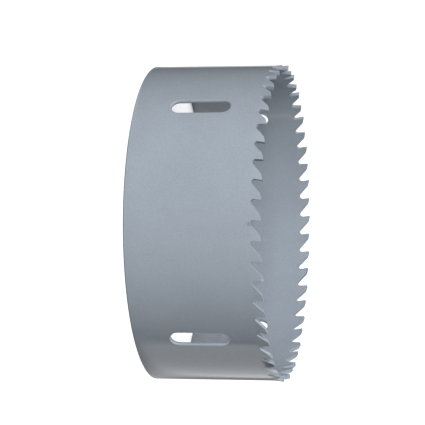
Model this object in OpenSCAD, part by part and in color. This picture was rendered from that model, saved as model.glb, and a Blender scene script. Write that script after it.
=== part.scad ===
// Bi-metal hole saw: a rolled and welded steel cup whose milled and set teeth carry
// welded-on tips of high speed steel, closed at the back by a thick steel plate.
// Millimetres. It stands on its back plate: the axis is Z, the teeth point up (+Z),
// and the origin is the centre of the back face.

/* [Cup] */
// Outside diameter of the cup wall
body_od = 101.2; // [86:0.2:130]
// Thickness of the band that the wall is rolled from
wall = 1.35; // [1:0.05:2]
// Overall height, from the back face to the tooth tips
saw_h = 42.3; // [34:0.1:70]
// Chamfer on the outer edge of the wall's back rim
rim_chamfer = 0.3; // [0.1:0.05:0.6]

/* [Teeth] */
// Number of teeth round the rim
tooth_count = 51; // [40:1:61]
// Angle of the first tooth's tip, at the weld where the band's ends meet
first_tooth_deg = 314.35; // [0:0.05:360]
// Depth of the gullets below the tooth tips
gullet_depth = 3.3; // [2.6:0.05:4]
// Forward lean of the cutting face
rake_deg = 7; // [0:1:12]
// Length of the land behind each cutting edge
land_len = 2.1; // [1:0.1:2.6]
// Fall of the land behind the cutting edge
relief_deg = 11; // [6:1:16]
// Fall of the tooth's back, below the land
back_deg = 41; // [38:1:50]
// Radius of the knee between land and back
knee_r = 1.5; // [0.5:0.1:2.5]
// Sideways bend of a set tooth at its tip
tooth_set = 0.4; // [0.2:0.05:0.6]
// Height of the high speed steel edge, from its weld to the tips
edge_h = 1.5; // [1:0.1:2]

/* [Slots] */
// Number of slots in the wall, for levering out the cut plug
slot_count = 4; // [2:1:6]
// Width of a slot, also the diameter of its round ends
slot_w = 5.3; // [3:0.1:8]
// Length of a slot over its round ends
slot_len = 18.4; // [10:0.2:22]
// Height of a slot's lower end above the back face
slot_base = 11.7; // [9:0.1:14]

/* [Back plate] */
// Thickness of the plate
plate_t = 5; // [4:0.1:8]
// Chamfer on the plate's outer edge at the back, beside the wall's rim
plate_chamfer = 0.4; // [0.1:0.05:0.8]
// Minor diameter of the arbor thread, 5/8"-18 UNF
arbor_minor_d = 14.5; // [12:0.1:16]
// Chamfer at each end of the arbor thread
arbor_chamfer = 0.6; // [0.2:0.1:1.2]
// Number of holes for the arbor's drive pins
pin_count = 4; // [2:1:6]
// Diameter of a drive pin hole
pin_hole_d = 6.7; // [5:0.1:8]
// Diameter of the circle that the drive pin holes lie on
pin_circle_d = 28.6; // [26:0.1:34]
// Chamfer at each end of a drive pin hole
pin_chamfer = 0.3; // [0.1:0.1:0.6]

/* [Hidden] */

$fn = 96;
lacquer = [0.60, 0.64, 0.68];
zinc = [0.80, 0.81, 0.82];

// Room by which a cut runs past the metal it goes through
over = 0.5;

rim_r = body_od / 2;
inner_r = rim_r - wall;
pitch_deg = 360 / tooth_count;

// Heights of the line that the teeth are bent along, of the weld that carries the
// high speed steel edge, and of the blank that the tips are milled from
bend_z = saw_h - gullet_depth + 0.15;
weld_z = saw_h - edge_h;
blank_z = saw_h + over;

// The rim is blanked with a flare both ways, and each tooth keeps one side of it. The
// faces cut back from the flare leave the wall just under the line where it starts.
cut_back_z = bend_z - 0.08;
set_slope = tooth_set / (saw_h - bend_z);
upright_slope = 0.02;

// The arc of a gullet's floor laps the straight stretches that it joins by this much
floor_lap = 0.01;

// A gullet's outline lies in the plane across its own tooth's cutting face: y runs
// forward from the tip, z up from the tips. It falls down the cutting face, round
// the floor and up the back and the land of the next tooth.
next_tip_y = (rim_r + tooth_set) * sin(pitch_deg);
knee_y = next_tip_y - land_len * cos(relief_deg);
knee_z = -land_len * sin(relief_deg);

// The floor is one arc, tangent to the cutting face and to the next tooth's back
floor_r = (knee_y + gullet_depth * tan(rake_deg) - (gullet_depth + knee_z) / tan(back_deg))
    / (1 / cos(rake_deg) + tan(rake_deg) + 1 / sin(back_deg) - 1 / tan(back_deg));
floor_z = floor_r - gullet_depth;
floor_y = floor_r / cos(rake_deg) + floor_z * tan(rake_deg);

// The knee is rounded in a few flats, on an arc tangent to the land and the back
knee_reach = knee_r * tan((back_deg - relief_deg) / 2);
knee_steps = 4;

// The set of one tooth ends a little short of the lowest line of each gullet's floor
floor_deg = asin(floor_y / inner_r);
set_gap_deg = 0.3;

// Sideways bend at height z of a tooth that is set
function bend(z) = set_slope * (z - bend_z);

// The tooth at the band's weld is straight, and the others lean out and in by turns
function leans_out(i) = i > 0 && i % 2 == 1;
function leans_in(i) = i > 0 && i % 2 == 0;

function tooth_deg(i) = first_tooth_deg - i * pitch_deg;

module gullet_outline() {
    land = [cos(relief_deg), sin(relief_deg)];
    knee = [knee_y, knee_z];
    knee_middle = knee + knee_reach * land + knee_r * [sin(relief_deg), -cos(relief_deg)];
    land_end = knee + (land_len + over) * land;
    rise = 2 * over;
    polygon([
        [rise * tan(rake_deg), rise],
        [floor_y - floor_r * cos(rake_deg), floor_z + floor_r * sin(rake_deg)],
        [floor_y + floor_r * sin(back_deg), floor_z - floor_r * cos(back_deg)],
        for (step = [0 : knee_steps])
            let (fall = back_deg + (relief_deg - back_deg) * step / knee_steps)
                knee_middle + knee_r * [-sin(fall), cos(fall)],
        land_end,
        [land_end.x, rise],
    ]);
    translate([floor_y, floor_z]) circle(floor_r + floor_lap);
}

// The gullet in front of tooth i, cut straight through the wall. The cut starts far enough
// in to pass the wall's inner side also at the next tooth, where the wall curves away.
module gullet(i) {
    start_x = inner_r * cos(1.2 * pitch_deg) - tooth_set - over;
    rotate([0, 0, tooth_deg(i)])
        translate([start_x, 0, saw_h])
            rotate([90, 0, 90])
                linear_extrude(rim_r + tooth_set + over - start_x) gullet_outline();
}

// What the lean of tooth i takes off one face of the flared rim. That face lies at
// face_r below the flare, and side is 1 outside and -1 inside.
module cut_back(i, face_r, side) {
    slope = leans_out(i) || leans_in(i) ? set_slope : upright_slope;
    low_z = bend_z - over;
    top_z = blank_z + over;
    past_r = face_r + side * (tooth_set + 2 * over);
    rotate([0, 0, tooth_deg(i) - pitch_deg + floor_deg + set_gap_deg])
        rotate_extrude(angle = pitch_deg - 2 * set_gap_deg)
            polygon([
                [face_r - side * slope * (low_z - cut_back_z), low_z],
                [face_r - side * slope * (top_z - cut_back_z), top_z],
                [past_r, top_z],
                [past_r, low_z],
            ]);
}

// Mills the gullets into the flared rim, then cuts each tooth back to its own lean
module milled() {
    difference() {
        difference() {
            children();
            for (i = [0 : tooth_count - 1]) gullet(i);
        }
        for (i = [0 : tooth_count - 1]) {
            if (!leans_out(i)) cut_back(i, rim_r, 1);
            if (!leans_in(i)) cut_back(i, inner_r, -1);
        }
    }
}

module wall_slot() {
    rotate([90, 0, 90])
        translate([0, 0, inner_r - over])
            linear_extrude(wall + 2 * over) {
                translate([0, slot_base + slot_w / 2]) circle(d = slot_w);
                translate([0, slot_base + slot_len - slot_w / 2]) circle(d = slot_w);
                translate([-slot_w / 2, slot_base + slot_w / 2]) square([slot_w, slot_len - slot_w]);
            }
}

// The rolled band, with the roots of its teeth
module cup_wall() {
    color(lacquer)
        difference() {
            milled()
                rotate_extrude()
                    polygon([
                        [inner_r, 0], [rim_r - rim_chamfer, 0], [rim_r, rim_chamfer],
                        [rim_r, bend_z], [rim_r + bend(weld_z), weld_z],
                        [inner_r - bend(weld_z), weld_z], [inner_r, bend_z],
                    ]);
            for (i = [0 : slot_count - 1]) rotate([0, 0, i * 360 / slot_count]) wall_slot();
        }
}

// The high speed steel edge, which the gullets leave as one tip on each tooth
module tooth_tips() {
    color(lacquer)
        milled()
            rotate_extrude()
                polygon([
                    [inner_r - bend(weld_z), weld_z], [rim_r + bend(weld_z), weld_z],
                    [rim_r + bend(blank_z), blank_z], [inner_r - bend(blank_z), blank_z],
                ]);
}

// A round hole through the plate, chamfered at both ends
module chamfered_hole(d, chamfer) {
    translate([0, 0, -over]) cylinder(d = d, h = plate_t + 2 * over);
    for (end = [0, 1])
        translate([0, 0, end * plate_t])
            mirror([0, 0, end])
                translate([0, 0, -over])
                    cylinder(r1 = d / 2 + chamfer + over, r2 = d / 2, h = chamfer + over);
}

// The plate that closes the back and takes the arbor and its drive pins
module back_plate() {
    color(zinc)
        difference() {
            rotate_extrude()
                polygon([
                    [0, 0], [inner_r - plate_chamfer, 0], [inner_r, plate_chamfer],
                    [inner_r, plate_t], [0, plate_t],
                ]);
            chamfered_hole(arbor_minor_d, arbor_chamfer);
            for (i = [0 : pin_count - 1])
                rotate([0, 0, i * 360 / pin_count])
                    translate([pin_circle_d / 2, 0, 0]) chamfered_hole(pin_hole_d, pin_chamfer);
        }
}

cup_wall();
tooth_tips();
back_plate();
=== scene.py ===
import math

import bpy
import numpy as np
from mathutils import Matrix, Vector
from mathutils.geometry import delaunay_2d_cdt


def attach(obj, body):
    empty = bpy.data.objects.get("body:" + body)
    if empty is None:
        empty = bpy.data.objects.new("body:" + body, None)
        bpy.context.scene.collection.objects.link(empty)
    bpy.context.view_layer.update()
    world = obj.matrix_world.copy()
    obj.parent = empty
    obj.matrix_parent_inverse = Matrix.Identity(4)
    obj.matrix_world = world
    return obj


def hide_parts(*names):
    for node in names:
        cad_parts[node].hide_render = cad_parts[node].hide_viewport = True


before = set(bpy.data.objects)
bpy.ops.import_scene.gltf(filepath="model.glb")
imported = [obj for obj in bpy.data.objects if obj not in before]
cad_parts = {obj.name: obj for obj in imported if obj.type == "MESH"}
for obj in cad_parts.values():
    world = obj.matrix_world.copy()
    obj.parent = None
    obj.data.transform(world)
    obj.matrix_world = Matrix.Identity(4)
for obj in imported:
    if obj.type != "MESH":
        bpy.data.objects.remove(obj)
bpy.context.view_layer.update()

MM = 0.001

# The saw's sizes in millimetres and its angles in radians, as in the CAD model
BODY_R = 50.6
INNER_R = 49.25
SAW_H = 42.3
RIM_CHAMFER = 0.3
TEETH = 51
PITCH = math.tau / TEETH
FIRST_TOOTH = math.radians(314.35)
GULLET_DEPTH = 3.3
RAKE = math.radians(7)
RELIEF = math.radians(11)
BACK = math.radians(41)
LAND = 2.1
KNEE_R = 1.5
TOOTH_SET = 0.4
EDGE_H = 1.5
WELD_Z = SAW_H - EDGE_H
BEND_Z = SAW_H - GULLET_DEPTH + 0.15
BEND_SLOPE = TOOTH_SET / (SAW_H - BEND_Z)
SLOTS = 4
SLOT_W = 5.3
SLOT_LEN = 18.4
SLOT_BASE = 11.7
PLATE_T = 5.0
PLATE_CHAMFER = 0.4
ARBOR_R = 7.25
ARBOR_CHAMFER = 0.6
PIN_R = 3.35
PIN_HOLES = 4
PIN_CIRCLE_R = 14.3
PIN_CHAMFER = 0.3

# Radii of the soft edges, and the steps in which an edge of the wall is drawn
EDGE_ROUND = 0.10
TIP_ROUND = 0.12
RIM_ROUND = 0.12
SLOT_ROUND = 0.42
PLATE_ROUND = 0.08
ROUND_STEPS = 3

# The height over which the bend of a tooth is spread, and the share of its lean that its
# shading shows
BEND_BLEND = 1.6
LEAN_SHADING = 0.45

# The arbor thread. Its flat crests and its flanks are measured in half pitches.
THREAD_PITCH = 1.411
THREAD_ROOT_R = 7.84
THREAD_CREST = 0.25
THREAD_FLANK = 0.62
THREAD_ROWS = 57
ARBOR_SEGMENTS = 96
PIN_SEGMENTS = 40

# The bead of weld at the back rim: its own radius, the circle that its middle follows, and
# its unevenness
BEAD_R = 0.19
BEAD_CIRCLE_R = INNER_R - 0.12
BEAD_Z = 0.23
BEAD_RIPPLE = 0.022
BEAD_RIPPLES = 300
BEAD_WAVER = 0.008
BEAD_WAVERS = 41
BEAD_SEGMENTS = 1200
BEAD_SIDES = 8

# The grid of points that the wall is filled with, the room it leaves round a slot, and the
# teeth between which the wall is filled in one go
COLUMNS_PER_TOOTH = 3
COLUMNS = TEETH * COLUMNS_PER_TOOTH
ROW_HEIGHTS = [3.4 * n for n in range(1, 12)]
SLOT_ROOM = 1.0
PANEL_ENDS = [0, 13, 26, 38, TEETH]

# The photograph's directions in the part's frame: towards the camera, up in the picture, and
# along the saw's axis to its teeth
NEAR = Vector((1, -1, 0)).normalized()
UP = Vector((-1, -1, 0)).normalized()
AXIS = Vector((0, 0, 1))
MIDDLE = AXIS * SAW_H / 2 * MM

# The camera as fitted to the photograph. It looks at a point beside the saw's middle.
LENS = 172.74
CAMERA_DISTANCE = 0.6599
CAMERA_TILT = math.radians(10.686)
CAMERA_ROLL = math.radians(0.098)
CAMERA_AIM = MIDDLE - AXIS * 0.003366 + UP * 0.003328

LACQUER_DARK = (0.345, 0.39, 0.445, 1)
LACQUER_LIGHT = (0.375, 0.425, 0.483, 1)
CHIPPED_STEEL = (0.62, 0.63, 0.64, 1)
FLOOR_GLOW = (0.94, 0.97, 1.0, 1)
FLOOR_R = 4000
FLOOR_SEGMENTS = 96


def grey(level):
    return (level, level, level, 1)


def even_turns(count):
    return [math.tau * n / count for n in range(count)]


def outwards(turn):
    return Vector((math.cos(turn), math.sin(turn), 0))


def sideways(turn):
    return Vector((-math.sin(turn), math.cos(turn), 0))


def turned_near(turn, about):
    """The same direction as turn, as an angle within half a turn of about."""
    return about + (turn - about + math.pi) % math.tau - math.pi


class Shell:
    """Points with their own normals, and faces, that become one mesh."""

    def __init__(self):
        self.points, self.normals, self.faces, self.mats = [], [], [], []

    def add(self, point, normal):
        self.points.append(point)
        self.normals.append(normal)
        return len(self.points) - 1

    def ring(self, radius, z, normal_r, normal_z, turns, centre=(0, 0)):
        """Points round an axis parallel to Z, with normals in the plane through that axis."""
        ids = []
        for turn in turns:
            x, y = math.cos(turn), math.sin(turn)
            point = (centre[0] + radius * x, centre[1] + radius * y, z)
            ids.append(self.add(point, (normal_r * x, normal_r * y, normal_z)))
        return ids

    def face(self, corners, mat=0):
        self.faces.append(list(corners))
        self.mats.append(mat)

    def strip(self, rail_a, rail_b, mat=0):
        """Quads between two closed rails. They face up where rail_b lies inside rail_a."""
        count = len(rail_a)
        for n in range(count):
            m = (n + 1) % count
            self.face((rail_a[n], rail_a[m], rail_b[m], rail_b[n]), mat)

    def bridge(self, one, two):
        """Quads between two open rows of points."""
        for n in range(len(one) - 1):
            self.face((one[n], two[n], two[n + 1], one[n + 1]))

    def piece(self, name, materials):
        mesh = bpy.data.meshes.new(name)
        mesh.from_pydata([Vector(p) * MM for p in self.points], [], self.faces)
        for material in materials:
            mesh.materials.append(material)
        mesh.polygons.foreach_set("material_index", self.mats)
        mesh.polygons.foreach_set("use_smooth", [True] * len(mesh.polygons))
        mesh.normals_split_custom_set_from_vertices([Vector(n).normalized() for n in self.normals])
        obj = bpy.data.objects.new(name, mesh)
        bpy.context.scene.collection.objects.link(obj)
        return obj


def fill(points, loops):
    """Triangles of the flat region that the loops bound, each turned counter-clockwise."""
    edges = [(loop[n - 1], loop[n]) for loop in loops for n in range(len(loop))]
    flat = [Vector(p) for p in points]
    _, _, faces, origins, _, _ = delaunay_2d_cdt(flat, edges, [], 0, 1e-6)
    plane = np.array(points)
    triangles = np.array([[origins[c][0] for c in face] for face in faces])
    corners = plane[triangles]
    one, two = corners[:, 1] - corners[:, 0], corners[:, 2] - corners[:, 0]
    turned = one[:, 0] * two[:, 1] - one[:, 1] * two[:, 0] < 0
    triangles[turned] = triangles[turned][:, ::-1]

    # A triangle is inside where a level line from its middle meets an odd number of edges
    mid = corners.mean(axis=1)
    a, b = plane[[e[0] for e in edges]], plane[[e[1] for e in edges]]
    rise = b[:, 1] - a[:, 1]
    rise[rise == 0] = 1e-12
    hit = a[:, 0] + (mid[:, 1:2] - a[:, 1]) * (b[:, 0] - a[:, 0]) / rise
    crossed = ((a[:, 1] > mid[:, 1:2]) != (b[:, 1] > mid[:, 1:2])) & (hit > mid[:, 0:1])
    return triangles[crossed.sum(axis=1) % 2 == 1]


def rounded(corners, radius, steps=2):
    """An open line with its inner corners rounded: rows of (x, y, normal x, normal y), the
    normals on the line's left."""
    points = [Vector(c) for c in corners]
    rows = []
    for n in range(len(points)):
        ahead = (points[n + 1] - points[n]).normalized() if n + 1 < len(points) else None
        behind = (points[n] - points[n - 1]).normalized() if n else None
        if ahead is None or behind is None:
            way = ahead or behind
            rows.append((*points[n], -way.y, way.x))
            continue
        turn = behind.angle_signed(ahead)
        reach = radius * math.tan(abs(turn) / 2)
        start, end = points[n] - behind * reach, points[n] + ahead * reach
        for step in range(steps + 1):
            t = step / steps
            at = start * (1 - t) ** 2 + points[n] * 2 * t * (1 - t) + end * t * t
            way = (behind * (1 - t) + ahead * t).normalized()
            rows.append((*at, -way.y, way.x))
    return rows


def bend(z):
    """How far a set tooth stands aside at height z, and its slope there."""
    t = (z - BEND_Z) / BEND_BLEND + 0.5
    if t <= 0:
        return 0.0, 0.0
    if t < 1:
        return BEND_SLOPE * BEND_BLEND * t * t / 2, BEND_SLOPE * t
    return BEND_SLOPE * (z - BEND_Z), BEND_SLOPE


def lean_of(tooth):
    """1 for a tooth that is set outwards, -1 inwards, and 0 for the straight one at the weld.
    The teeth count from that one, counter-clockwise seen from above."""
    tooth %= TEETH
    if tooth == 0:
        return 0
    return 1 if tooth % 2 == 0 else -1


def wall_point(ray, y, z, face, depth, cut_normal, side, lean):
    """A point of the wall and its normal. It lies y across the ray at that turn, and depth below
    the outer (face 1) or inner (face -1) surface. side is the share of that surface's normal,
    and cut_normal is what the cut edge adds, across the ray and along Z."""
    aside, slope = bend(z)
    r = (BODY_R if face > 0 else INNER_R) + lean * aside - face * depth
    turn = ray + math.asin(y / r)
    own = Vector((math.cos(turn), math.sin(turn), -lean * slope * LEAN_SHADING)) * face * side
    cut = sideways(ray) * cut_normal[0] + AXIS * cut_normal[1]
    return (r * math.cos(turn), r * math.sin(turn), z), own + cut


def face_pair(shell, turn, z, lean=0):
    """A point of the wall's outer face, and the one behind it on the inner face."""
    return [shell.add(*wall_point(turn, 0, z, face, 0, (0, 0), 1, lean)) for face in (1, -1)]


def edge_row(shell, ray, y, z, normal, width, lean=0, level=False, tip=False):
    """Points across the wall's cut edge at one place of its outline, from the outer face over
    both rounded edges to the inner face. level keeps them all at height z. tip lowers them to
    where the land, which falls inwards, meets the cutting edge."""
    ids = []
    for face in (1, -1):
        for step in range(ROUND_STEPS + 1):
            share = step / ROUND_STEPS if face < 0 else 1 - step / ROUND_STEPS
            a = share * math.pi / 2
            back_off, depth = width * (1 - math.cos(a)), width * (1 - math.sin(a))
            if level:
                at_y, at_z = y - back_off / normal[0], z
            else:
                at_y, at_z = y - back_off * normal[0], z - back_off * normal[1]
            if tip:
                tip_r = (BODY_R if face > 0 else INNER_R) + lean * TOOTH_SET
                at_z -= (BODY_R + TOOTH_SET - tip_r) * math.sin(PITCH) * math.tan(RELIEF)
            cut_normal = Vector(normal) * math.cos(a)
            point = wall_point(ray, at_y, at_z, face, depth, cut_normal, math.sin(a), lean)
            ids.append(shell.add(*point))
    return ids


def gap_outline():
    """The outline of one tooth gap in the plane across the tooth behind it, from that tooth's
    tip round to the next tooth's land: rows of (kind, y, z, normal y, normal z), and the number
    of the lowest row."""
    next_tip = (BODY_R + TOOTH_SET) * math.sin(PITCH)
    knee = Vector((next_tip - LAND * math.cos(RELIEF), -LAND * math.sin(RELIEF)))
    floor_r = knee.x + GULLET_DEPTH * math.tan(RAKE) - (GULLET_DEPTH + knee.y) / math.tan(BACK)
    floor_r /= 1 / math.cos(RAKE) + math.tan(RAKE) + 1 / math.sin(BACK) - 1 / math.tan(BACK)
    floor = Vector((0, floor_r - GULLET_DEPTH))
    floor.x = floor_r / math.cos(RAKE) + floor.y * math.tan(RAKE)
    front = Vector((math.cos(RAKE), -math.sin(RAKE)))
    land = Vector((-math.sin(RELIEF), math.cos(RELIEF)))
    back = Vector((-math.sin(BACK), math.cos(BACK)))
    upwards, downwards = math.pi / 2, math.pi * 1.5
    rows = []

    def arc(kind, middle, radius, start, end, steps, hollow=False):
        for step in range(steps + 1):
            a = start + (end - start) * step / steps
            out = Vector((math.cos(a), math.sin(a)))
            rows.append((kind, *(middle + out * radius), *(-out if hollow else out)))

    tip_middle = (front + land) * (-TIP_ROUND / (1 + front.dot(land)))
    arc("tip", tip_middle, TIP_ROUND, upwards + RELIEF, -RAKE, 4)
    rows.append(("front", -EDGE_H * math.tan(RAKE), -EDGE_H, *front))
    arc("floor", floor, floor_r, math.pi - RAKE, downwards, 6, hollow=True)
    low = len(rows) - 1
    arc("floor", floor, floor_r, downwards + BACK / 3, downwards + BACK, 2, hollow=True)
    last = floor + Vector((math.sin(BACK), -math.cos(BACK))) * floor_r
    rows.append(("back", last.x + (-EDGE_H - last.y) / math.tan(BACK), -EDGE_H, *back))
    reach = KNEE_R * math.tan((BACK - RELIEF) / 2)
    knee_middle = knee + Vector((math.cos(RELIEF), math.sin(RELIEF))) * reach - land * KNEE_R
    arc("knee", knee_middle, KNEE_R, upwards + BACK, upwards + RELIEF, 4)
    return rows, low


# The welds of the tips cross a gap's outline at its front row and its back row. What lies
# between these is the wall's gullet, whose lowest row counts from the front row.
GAP, GAP_LOW = gap_outline()
FRONT_ROW = [row[0] for row in GAP].index("front")
BACK_ROW = [row[0] for row in GAP].index("back")
LOWEST = GAP_LOW - FRONT_ROW


def gap_row(shell, k, n):
    """The points of row n of the gap in front of tooth k, with their turn and height."""
    kind, y, z, *normal = GAP[n]
    ray = FIRST_TOOTH + k * PITCH
    lean = lean_of(k if n <= GAP_LOW else k + 1)
    level = kind in ("front", "back")
    ids = edge_row(shell, ray, y, SAW_H + z, normal, EDGE_ROUND, lean, level, kind == "tip")
    x, y, z = shell.points[ids[0]]
    return ids, turned_near(math.atan2(y, x), ray), z


def weld_line(shell, k, start, end):
    """Three turns between start and end on the flat under the tip of tooth k + 1, each with
    its pair of points."""
    turns = [start + (end - start) * step / 4 for step in (1, 2, 3)]
    return [(turn, face_pair(shell, turn, WELD_Z, lean_of(k + 1))) for turn in turns]


def flat_corners(start, welds, end):
    """The corners of that flat, along the outer face and back along the inner face. start and
    end are rows of points across the wall."""
    outer = [pair[0] for _, pair in welds]
    inner = [pair[1] for _, pair in reversed(welds)]
    return [start[0]] + outer + end + inner + start[:0:-1]


def slot_outline():
    """One slot's outline, counter-clockwise: rows of (y, z, normal y, normal z)."""
    half, steps = SLOT_W / 2, 16
    low, high = SLOT_BASE + half, SLOT_BASE + SLOT_LEN - half
    ends = []
    for middle, start in ((low, math.pi), (high, 0)):
        for step in range(steps + 1):
            a = start + math.pi * step / steps
            y, z = math.cos(a), math.sin(a)
            ends.append((half * y, middle + half * z, -y, -z))
    straight = [(half, low + (high - low) * n / 4) for n in (1, 2, 3)]
    right = [(y, z, -1.0, 0.0) for y, z in straight]
    left = [(-y, z, 1.0, 0.0) for y, z in reversed(straight)]
    return ends[:steps + 1] + right + ends[steps + 1:] + left


def clear_of_slots(turn, z):
    beyond = max(0, abs(z - SLOT_BASE - SLOT_LEN / 2) - (SLOT_LEN - SLOT_W) / 2)
    across = [BODY_R * (turned_near(turn, ray) - ray) for ray in even_turns(SLOTS)]
    return all(math.hypot(y, beyond) >= SLOT_W / 2 + SLOT_ROOM for y in across)


def rim_rows():
    """The line round the wall's back rim: rows of (r, z, normal r, normal z). The ends of the
    line only give it its direction, and are left out."""
    end_z = 3.0
    corners = [(BODY_R, end_z), (BODY_R, RIM_CHAMFER), (BODY_R - RIM_CHAMFER, 0),
               (INNER_R, 0), (INNER_R, end_z)]
    return rounded(corners, RIM_ROUND)[1:-1]


class Panel:
    """Part of the wall unrolled flat, whose points stand for a pair on the outer and inner face."""

    def __init__(self):
        self.plane, self.outer, self.inner = [], [], []

    def add(self, turn, z, outer, inner):
        self.plane.append((turn * BODY_R, z))
        self.outer.append(outer)
        self.inner.append(inner)
        return len(self.plane) - 1

    def add_row(self, row, wrap=0):
        """Adds a row across an edge, by its first and last point."""
        ids, turn, z = row
        return self.add(turn + wrap, z, ids[0], ids[-1])

    def build(self, shell, loops):
        for a, b, c in fill(self.plane, loops):
            shell.face((self.outer[a], self.outer[b], self.outer[c]))
            shell.face((self.inner[c], self.inner[b], self.inner[a]))


class Wall:
    """The rolled band with the roots of its teeth, its slots and its back rim."""

    def __init__(self):
        self.shell = Shell()
        self.gullets = [self.gullet(k) for k in range(TEETH)]
        self.flats = [self.flat(k) for k in range(TEETH)]
        self.start = self.gullets[0][LOWEST][1]
        turns = [self.turn_at(c) for c in range(COLUMNS)]
        self.rims = [self.shell.ring(*row, turns) for row in rim_rows()]
        for one, two in zip(self.rims, self.rims[1:]):
            self.shell.strip(two, one)
        self.grid = {}
        for c, turn in enumerate(turns):
            for z in ROW_HEIGHTS:
                if clear_of_slots(turn, z):
                    self.grid[c, z] = face_pair(self.shell, turn, z)
        self.slots = [(ray, self.slot(ray)) for ray in even_turns(SLOTS)]
        for start, end in zip(PANEL_ENDS, PANEL_ENDS[1:]):
            self.fill_panel(start, end)

    def gullet(self, k):
        """Draws the gullet in front of tooth k. Returns its rows of points."""
        rows = [gap_row(self.shell, k, n) for n in range(FRONT_ROW, BACK_ROW + 1)]
        for one, two in zip(rows, rows[1:]):
            self.shell.bridge(one[0], two[0])
        return rows

    def flat(self, k):
        """Draws the flat that the tip of tooth k + 1 is welded on. Returns its pairs."""
        start, end = self.gullets[k][-1], self.gullets[(k + 1) % TEETH][0]
        wrap = math.tau if k + 1 == TEETH else 0
        welds = weld_line(self.shell, k, start[1], end[1] + wrap)
        self.shell.face(flat_corners(start[0], welds, end[0]))
        return welds

    def slot(self, ray):
        """Draws the edge of the slot at that turn. Returns its rows of points."""
        rows = []
        for y, z, *normal in slot_outline():
            rows.append(edge_row(self.shell, ray, y, z, normal, SLOT_ROUND))
        for one, two in zip(rows, rows[1:] + rows[:1]):
            self.shell.bridge(one, two)
        return rows

    def turn_at(self, column):
        return self.start + column * PITCH / COLUMNS_PER_TOOTH

    def fill_panel(self, start, end):
        """Fills both faces of the wall between the gullets in front of two teeth."""
        panel = Panel()
        left, right = start * COLUMNS_PER_TOOTH, end * COLUMNS_PER_TOOTH
        rim_z = self.shell.points[self.rims[0][0]][2]

        def rim_point(column):
            rim_ends = [rim[column % COLUMNS] for rim in (self.rims[0], self.rims[-1])]
            return panel.add(self.turn_at(column), rim_z, *rim_ends)

        def grid_point(column, z):
            return panel.add(self.turn_at(column), z, *self.grid[column % COLUMNS, z])

        border = [rim_point(c) for c in range(left, right + 1)]
        border += [grid_point(right, z) for z in ROW_HEIGHTS]
        top = []
        for k in range(start, end + 1):
            wrap = math.tau if k >= TEETH else 0
            first = LOWEST if k == start else 0
            last = LOWEST if k == end else BACK_ROW - FRONT_ROW
            top += [panel.add_row(row, wrap) for row in self.gullets[k % TEETH][first:last + 1]]
            if k < end:
                top += [panel.add(turn, WELD_Z, *pair) for turn, pair in self.flats[k]]
        border += reversed(top)
        border += [grid_point(left, z) for z in reversed(ROW_HEIGHTS)]
        for c in range(left + 1, right):
            for z in ROW_HEIGHTS:
                if (c, z) in self.grid:
                    grid_point(c, z)
        for k in range(start, end):
            self.add_bend(panel, k)
        panel.build(self.shell, [border] + self.holes(panel, left, right))

    def add_bend(self, panel, k):
        """Adds points over the height in which tooth k + 1 is bent."""
        side = self.gullets[k][-1][1]
        for share in (0.25, 0.5, 0.75):
            turn = side + share * (self.flats[k][-1][0] - side)
            for part in (-0.5, -0.25, 0, 0.25, 0.5):
                z = BEND_Z + BEND_BLEND * part
                panel.add(turn, z, *face_pair(self.shell, turn, z, lean_of(k + 1)))

    def holes(self, panel, left, right):
        """Adds the slots between two columns to the panel. Returns their loops."""
        loops = []
        for ray, rows in self.slots:
            middle = self.start + (ray - self.start) % math.tau
            if not self.turn_at(left) < middle < self.turn_at(right):
                continue
            loop = []
            for ids in rows:
                x, y, z = self.shell.points[ids[0]]
                turn = turned_near(math.atan2(y, x), middle)
                loop.append(panel.add(turn, z, ids[0], ids[-1]))
            loops.append(loop)
        return loops


def make_wall(materials):
    return Wall().shell.piece("lacquered_wall", materials)


def make_tips(materials):
    """The tips: each from the back of tooth k + 1 over its land to its cutting face."""
    shell = Shell()
    for k in range(TEETH):
        rows = [gap_row(shell, k, n) for n in range(BACK_ROW, len(GAP))]
        rows += [gap_row(shell, k + 1, n) for n in range(FRONT_ROW + 1)]
        welds = weld_line(shell, k, rows[0][1], rows[-1][1])
        for one, two in zip(rows, rows[1:]):
            shell.bridge(one[0], two[0])
        panel = Panel()
        border = [panel.add_row(rows[0])]
        border += [panel.add(turn, WELD_Z, *pair) for turn, pair in welds]
        border += [panel.add_row(row) for row in reversed(rows[1:])]
        panel.build(shell, [border])
        shell.face(reversed(flat_corners(rows[0][0], welds, rows[-1][0])))
    return shell.piece("lacquered_tips", materials)


def lathe(shell, corners, turns, mat, centre=(0, 0)):
    """A turned surface with soft corners, whose outside is on the left of the line (r, z)."""
    rings = [shell.ring(*row, turns, centre) for row in rounded(corners, PLATE_ROUND)]
    for one, two in zip(rings, rings[1:]):
        shell.strip(two, one, mat)
    return rings[0], rings[-1]


def thread_radius(z, turn):
    """Radius of the arbor thread: a right-hand screw with flat crests, opened by its chamfers."""
    phase = (z / THREAD_PITCH - turn / math.tau) % 1
    rise = (min(phase, 1 - phase) * 2 - THREAD_CREST) / THREAD_FLANK
    cut = ARBOR_R + (THREAD_ROOT_R - ARBOR_R) * min(1, max(0, rise))
    chamfer = ARBOR_R + ARBOR_CHAMFER - min(z, PLATE_T - z)
    return max(cut, chamfer)


def thread_point(z, turn):
    """A point of the thread's surface, and its normal from the slopes there."""
    r = thread_radius(z, turn)
    step = 0.02
    rise = thread_radius(min(PLATE_T, z + step), turn) - thread_radius(max(0, z - step), turn)
    swell = thread_radius(z, turn + step / r) - thread_radius(z, turn - step / r)
    slopes = sideways(turn) * swell / (2 * step) + AXIS * rise / (2 * step)
    return outwards(turn) * r + AXIS * z, slopes - outwards(turn)


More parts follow.
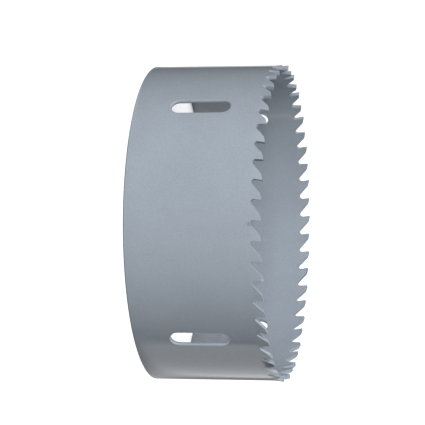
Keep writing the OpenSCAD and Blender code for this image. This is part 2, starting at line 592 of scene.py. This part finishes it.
def make_plate(materials):
    """The plate at the back: lacquered outside, pale inside, with a threaded arbor hole."""
    outside, inside, bare = 0, 1, 2
    shell = Shell()

    # The rim goes a little into the wall, so that no gap shows between them. The lines that it
    # is turned from run on past its corners.
    edge_r = INNER_R + 0.02
    run_on = 1.0
    rim = even_turns(COLUMNS)
    top_line = [(edge_r - run_on, PLATE_T), (edge_r, PLATE_T), (edge_r, PLATE_T - run_on)]
    top_edge, side_top = lathe(shell, top_line, rim, inside)
    back_line = [(edge_r, PLATE_T - 2 * run_on), (edge_r, PLATE_CHAMFER),
                 (edge_r - PLATE_CHAMFER, 0), (edge_r - 3 * PLATE_CHAMFER, 0)]
    side_low, back_edge = lathe(shell, back_line, rim, outside)
    shell.strip(side_low, side_top, outside)

    fine = even_turns(ARBOR_SEGMENTS)
    thread = []
    for n in range(THREAD_ROWS + 1):
        z = PLATE_T * n / THREAD_ROWS
        thread.append([shell.add(*thread_point(z, turn)) for turn in fine])
    for one, two in zip(thread, thread[1:]):
        shell.strip(two, one, bare)
    mouth_r = ARBOR_R + ARBOR_CHAMFER + 0.05
    back_mouth = shell.ring(mouth_r, 0, 0, -1, fine)
    top_mouth = shell.ring(mouth_r, PLATE_T, 0, 1, fine)
    shell.strip(thread[0], back_mouth, outside)
    shell.strip(top_mouth, thread[-1], inside)

    back_loops, top_loops = [back_edge, back_mouth], [top_edge, top_mouth]
    chamfer_r, land_r = PIN_R + PIN_CHAMFER, PIN_R + 2 * PIN_CHAMFER
    pin_line = [(land_r, 0), (chamfer_r, 0), (PIN_R, PIN_CHAMFER),
                (PIN_R, PLATE_T - PIN_CHAMFER), (chamfer_r, PLATE_T), (land_r, PLATE_T)]
    pin_turns = even_turns(PIN_SEGMENTS)
    for turn in even_turns(PIN_HOLES):
        centre = (PIN_CIRCLE_R * math.cos(turn), PIN_CIRCLE_R * math.sin(turn))
        back_loop, top_loop = lathe(shell, pin_line, pin_turns, outside, centre)
        back_loops.append(back_loop)
        top_loops.append(top_loop)
    for loops, mat, face_up in ((back_loops, outside, False), (top_loops, inside, True)):
        ids = [c for loop in loops for c in loop]
        place = {c: n for n, c in enumerate(ids)}
        flat = [shell.points[c][:2] for c in ids]
        for corners in fill(flat, [[place[c] for c in loop] for loop in loops]):
            triangle = [ids[c] for c in corners]
            shell.face(triangle if face_up else triangle[::-1], mat)
    return shell.piece("arbor_plate", materials)


def make_back_weld(materials):
    """The rippled bead that joins plate and wall, sunk in the groove at the back rim."""
    shell = Shell()
    rings = []
    for turn in even_turns(BEAD_SEGMENTS):
        ripple = BEAD_RIPPLE * math.cos(turn * BEAD_RIPPLES)
        waver = BEAD_WAVER * math.sin(turn * BEAD_WAVERS)
        out = outwards(turn)
        middle = out * BEAD_CIRCLE_R + AXIS * BEAD_Z
        ways = [out * math.cos(a) + AXIS * math.sin(a) for a in even_turns(BEAD_SIDES)]
        rings.append([shell.add(middle + way * (BEAD_R + ripple + waver), way) for way in ways])
    for n, ring in enumerate(rings):
        shell.strip(ring, rings[n - 1])
    return shell.piece("back_weld", materials)


class Nodes:
    """A short way to build a tree of shader nodes."""

    def __init__(self, tree):
        self.tree = tree

    def add(self, kind, settings=None, **inputs):
        node = self.tree.nodes.new("ShaderNode" + kind)
        for key, value in (settings or {}).items():
            setattr(node, key, value)
        self.put(node, **inputs)
        return node

    def put(self, node, **inputs):
        """Sets or links inputs, given by name with _ for a space, or by number as in i0."""
        for key, value in inputs.items():
            by_number = key[1:].isdigit()
            socket = node.inputs[int(key[1:]) if by_number else key.replace("_", " ")]
            if isinstance(value, bpy.types.NodeSocket):
                self.tree.links.new(value, socket)
            else:
                socket.default_value = value

    def math(self, operation, a, b=None):
        node = self.add("Math", {"operation": operation}, i0=a)
        if b is not None:
            self.put(node, i1=b)
        return node.outputs[0]

    def product(self, value, *others):
        for other in others:
            value = self.math("MULTIPLY", value, other)
        return value

    def end_in_mix(self, output, share, one, two):
        """Shows two shaders mixed."""
        mix = self.add("MixShader", None, i0=share, i1=one.outputs[0], i2=two.outputs[0])
        self.put(self.tree.nodes[output], Surface=mix.outputs[0])


class Finish(Nodes):
    """The nodes of one material, whose patterns keep to their place on the object."""

    def __init__(self, name):
        self.material = bpy.data.materials.new(name)
        self.material.use_nodes = True
        super().__init__(self.material.node_tree)
        self.shader = self.tree.nodes["Principled BSDF"]
        self.where = self.add("TexCoord").outputs["Object"]

    def look(self, **inputs):
        self.put(self.shader, **inputs)

    def noise(self, scale, detail, roughness=0.5):
        inputs = {"Vector": self.where, "Scale": scale, "Detail": detail, "Roughness": roughness}
        return self.add("TexNoise", None, **inputs).outputs["Fac"]

    def span(self, value, low, high, to_low=0.0, to_high=1.0):
        node = self.add("MapRange", None, Value=value, From_Min=low, From_Max=high)
        self.put(node, To_Min=to_low, To_Max=to_high)
        return node.outputs["Result"]

    def mix(self, factor, a, b, blend="MIX"):
        settings = {"data_type": "RGBA", "blend_type": blend}
        return self.add("Mix", settings, Factor=factor, i6=a, i7=b).outputs[2]

    def bump(self, height, distance, strength, below=None):
        """Bumps of that height, on top of those below."""
        node = self.add("Bump", None, Height=height, Distance=distance, Strength=strength)
        if below is not None:
            self.put(node, Normal=below)
        return node.outputs["Normal"]

    def along(self, direction):
        """How far a place lies along the direction."""
        settings = {"operation": "DOT_PRODUCT"}
        node = self.add("VectorMath", settings, i0=self.where, i1=tuple(direction))
        return node.outputs["Value"]

    def slanted(self, a, b, slope):
        """a plus slope times b."""
        return self.math("ADD", a, self.math("MULTIPLY", b, slope))

    def length(self, vector):
        return self.add("VectorMath", {"operation": "LENGTH"}, i0=vector).outputs["Value"]


def lacquer_material():
    """Semi-gloss blue-grey lacquer over steel, a little uneven as sprayed lacquer is."""
    n = Finish("blue_grey_lacquer")
    place = n.add("SeparateXYZ", None, Vector=n.where).outputs
    cloud = n.noise(60, 3)
    grain = n.noise(2600, 2, 0.6)
    tone = n.mix(n.span(cloud, 0.3, 0.7), LACQUER_DARK, LACQUER_LIGHT)
    fleck = n.mix(n.span(grain, 0.35, 0.65), grey(0.94), grey(1.06))
    colour = n.mix(1.0, tone, fleck, "MULTIPLY")

    # Painted shade: the inner wall is darkened, most of all deep in the cup
    across = n.add("CombineXYZ", None, X=place["X"], Y=place["Y"]).outputs[0]
    inward = n.span(n.length(across), (BODY_R - 0.9) * MM, (BODY_R - 0.5) * MM, 1.0, 0.0)
    above_plate = n.span(place["Z"], (PLATE_T - 0.2) * MM, PLATE_T * MM)
    inner_shade_level = n.span(place["Z"], 14 * MM, 32 * MM, 0.53, 0.80)
    inner_shade = n.add("CombineColor", None, Red=inner_shade_level, Green=inner_shade_level, Blue=inner_shade_level).outputs[0]
    colour = n.mix(n.product(inward, above_plate), colour, inner_shade, "MULTIPLY")

    # Small chips along the cutting edges
    edge = n.span(place["Z"], (SAW_H - 1.4) * MM, (SAW_H - 0.2) * MM)
    chips = n.product(n.span(n.noise(700, 3, 0.7), 0.62, 0.66), edge)
    colour = n.mix(chips, colour, CHIPPED_STEEL)

    # The burr of the band's seam, beside the straight tooth's middle, from its root upwards
    beside = n.math("ADD", n.along(sideways(FIRST_TOOTH)), -0.8 * MM)
    seam = n.span(n.math("ABSOLUTE", beside), 0.3 * MM, 0.8 * MM, 1.0, 0.0)
    this_side = n.span(n.along(outwards(FIRST_TOOTH)), 0.0, 10 * MM)
    upper = n.span(place["Z"], 37.2 * MM, 38.5 * MM)
    burr = n.product(n.span(n.noise(1600, 2), 0.4, 0.6), seam, this_side, upper)

    peel = n.bump(n.noise(900, 2), 0.01 * MM, 0.6)
    surface = n.bump(grain, 0.003 * MM, 0.5, n.bump(burr, 0.25 * MM, 1.0, peel))
    roughness = n.span(n.noise(350, 3), 0.3, 0.7, 0.36, 0.46)
    n.look(Base_Color=colour, Roughness=roughness, Normal=surface, IOR=1.4)
    n.look(Specular_IOR_Level=0.0, Coat_Weight=1.0, Coat_Roughness=0.12, Coat_IOR=1.5)
    return n.material


def pale_material():
    """Pale zinc on the plate's inner face, with turning marks, and painted shade on its middle,
    which is darker to even out the stronger light that falls there.
    """
    n = Finish("pale_zinc")
    away = n.length(n.where)
    zinc = n.mix(n.span(n.noise(220, 3), 0.3, 0.7), (0.70, 0.71, 0.72, 1), grey(0.80))
    # Painted shade: the middle of the plate is darker than the pale ring round it
    turned = n.mix(n.noise(300, 3), (0.30, 0.305, 0.31, 1), grey(0.38))
    colour = n.mix(n.span(away, 31.5 * MM, 34 * MM), turned, zinc)
    marks = n.math("SINE", n.math("MULTIPLY", away, math.tau / (0.6 * MM)))
    surface = n.bump(n.math("ADD", marks, n.noise(1500, 2)), 0.012 * MM, 1.0)
    roughness = n.span(n.noise(500, 3), 0.3, 0.7, 0.5, 0.62)
    n.look(Base_Color=colour, Roughness=roughness, Normal=surface, Specular_IOR_Level=0.2)
    return n.material


def bare_steel_material():
    """Cut steel in the arbor thread."""
    n = Finish("bare_steel")
    colour = n.mix(n.noise(700, 3), (0.42, 0.42, 0.43, 1), (0.58, 0.57, 0.56, 1))
    roughness = n.span(n.noise(1200, 3), 0.3, 0.7, 0.25, 0.42)
    surface = n.bump(n.noise(2500, 2), 0.004 * MM, 0.6)
    n.look(Base_Color=colour, Roughness=roughness, Normal=surface, Metallic=1.0)
    return n.material


def floor_material():
    """A plain floor, which takes the object's shadow, under a glow by which the camera sees it
    white. In this light the shadow clips to white as well. To every ray but the camera's it is
    nearly black, so it throws back hardly any light. Shiny surfaces see a sheet of the glow
    behind the saw and beneath it, which is a painted reflection, and the rest of it dim."""
    n = Finish("white_floor")
    shown = n.add("LightPath").outputs
    pale = n.mix(n.noise(40, 2), grey(0.64), grey(0.66))
    colour = n.mix(shown["Is Camera Ray"], grey(0.07), pale)
    n.look(Base_Color=colour, Roughness=1.0, Specular_IOR_Level=0.0)
    glow = n.add("Emission", None, Color=FLOOR_GLOW, Strength=1.65)

    # The glowing sheet that shiny surfaces see, a painted reflection, ends towards the camera and
    # towards the top of the picture. It is brightest low in the picture, half as bright above the
    # saw's middle, and fades out far from the saw.
    towards, rise = n.along(NEAR), n.along(UP)
    behind = n.span(n.slanted(towards, rise, -0.151), 37.5 * MM, 44.5 * MM, 1.0, 0.0)
    beneath = n.span(n.slanted(rise, towards, 0.325), 50.5 * MM, 54.5 * MM, 1.0, 0.0)
    lower = n.span(n.slanted(rise, towards, -0.445), -67 * MM, -48 * MM, 0.93, 0.165)
    upper = n.span(rise, 0.0, 20 * MM, 0.0, 0.42)
    near_by = n.span(n.length(n.where), 280 * MM, 340 * MM, 1.0, 0.0)
    painted_reflection_sheet = n.product(n.math("MAXIMUM", lower, upper), near_by, behind, beneath)

    shiny = n.math("MAXIMUM", shown["Is Glossy Ray"], shown["Is Transmission Ray"])
    painted_reflection_share = n.math("MULTIPLY", shiny, n.math("MAXIMUM", painted_reflection_sheet, 0.02))
    direct = n.math("MULTIPLY", shown["Is Camera Ray"], 0.6)
    n.end_in_mix("Material Output", n.math("MAXIMUM", direct, painted_reflection_share), n.shader, glow)
    return n.material


def make_camera():
    data = bpy.data.cameras.new("camera")
    data.sensor_width = 36
    data.lens = LENS
    camera = bpy.data.objects.new("camera", data)
    way = NEAR * math.cos(CAMERA_TILT) + AXIS * math.sin(CAMERA_TILT)
    place = MIDDLE + way * CAMERA_DISTANCE
    back = (place - CAMERA_AIM).normalized()
    level_right = (AXIS - back * AXIS.dot(back)).normalized()
    level_up = back.cross(level_right)
    cos, sin = math.cos(CAMERA_ROLL), math.sin(CAMERA_ROLL)
    right = level_right * cos + level_up * sin
    up = level_up * cos - level_right * sin
    camera.matrix_world = Matrix((right, up, back)).transposed().to_4x4()
    camera.location = place
    bpy.context.scene.collection.objects.link(camera)
    bpy.context.scene.camera = camera


def make_floor():
    shell = Shell()
    shell.face(shell.ring(FLOOR_R, 0, 0, 1, even_turns(FLOOR_SEGMENTS)))
    floor = shell.piece("floor", [floor_material()])


def make_world():
    """White where the camera sees it, dim where a shiny surface does, and hardly any light."""
    world = bpy.data.worlds.new("world")
    bpy.context.scene.world = world
    world.use_nodes = True
    n = Nodes(world.node_tree)
    light = n.tree.nodes["Background"]
    n.put(light, Color=grey(1), Strength=0.03)
    white = n.add("Background", None, Color=grey(1), Strength=1.0)
    shown = n.add("LightPath").outputs
    shiny = n.math("MAXIMUM", shown["Is Glossy Ray"], shown["Is Transmission Ray"])
    seen = n.math("MAXIMUM", shown["Is Camera Ray"], n.math("MULTIPLY", shiny, 0.09))
    n.end_in_mix("World Output", seen, light, white)


def spread(turn, lift):
    """A direction turned by degrees from the near side towards up, and lifted by degrees from
    there towards the teeth."""
    turn, lift = math.radians(turn), math.radians(lift)
    level = NEAR * math.cos(turn) + UP * math.sin(turn)
    return level * math.cos(lift) + AXIS * math.sin(lift)


def softbox(name, towards, distance, size, strength, cone=math.pi):
    """A round soft lamp aimed at the saw's middle, which neither the camera nor a shiny surface
    sees. Its light spreads over the cone's angle."""
    data = bpy.data.lights.new(name, "AREA")
    data.shape = "DISK"
    data.size = size
    data.energy = strength
    data.spread = cone
    lamp = bpy.data.objects.new(name, data)
    lamp.visible_camera = False
    lamp.visible_glossy = False
    lamp.location = MIDDLE + towards * distance
    lamp.rotation_mode = "QUATERNION"
    lamp.rotation_quaternion = towards.to_track_quat("Z", "Y")
    bpy.context.scene.collection.objects.link(lamp)


def make_lamps():
    # The main light on the near side, a little above and a little towards the teeth
    softbox("key", spread(20, 25), distance=1.0, size=0.6, strength=11.0)

    # A fill light from behind the saw
    softbox("back_fill", spread(190, 14), distance=1.0, size=0.6, strength=6.5)

    # Along the axis, onto the teeth and into the mouth
    softbox("top_light", AXIS, distance=0.8, size=0.4, strength=2.8)

    # A weak and narrow beam through the mouth, which reaches only the plate
    beam = math.radians(1)
    softbox("mouth_light", AXIS, distance=0.18, size=0.0955, strength=0.018, cone=beam)


lacquer = lacquer_material()
wall = make_wall([lacquer])
tips = make_tips([lacquer])
plate = make_plate([lacquer, pale_material(), bare_steel_material()])
weld = make_back_weld([lacquer])
for piece, node, slot in ((wall, "cup_wall", "lacquer"), (tips, "tooth_tips", "tip_lacquer"),
                          (plate, "back_plate", "plate_steel"), (weld, None, "lacquer")):
    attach(piece, "root")
    if node:
        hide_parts(node)

make_camera()
make_floor()
make_world()
make_lamps()

bpy.context.scene.view_settings.view_transform = "Standard"
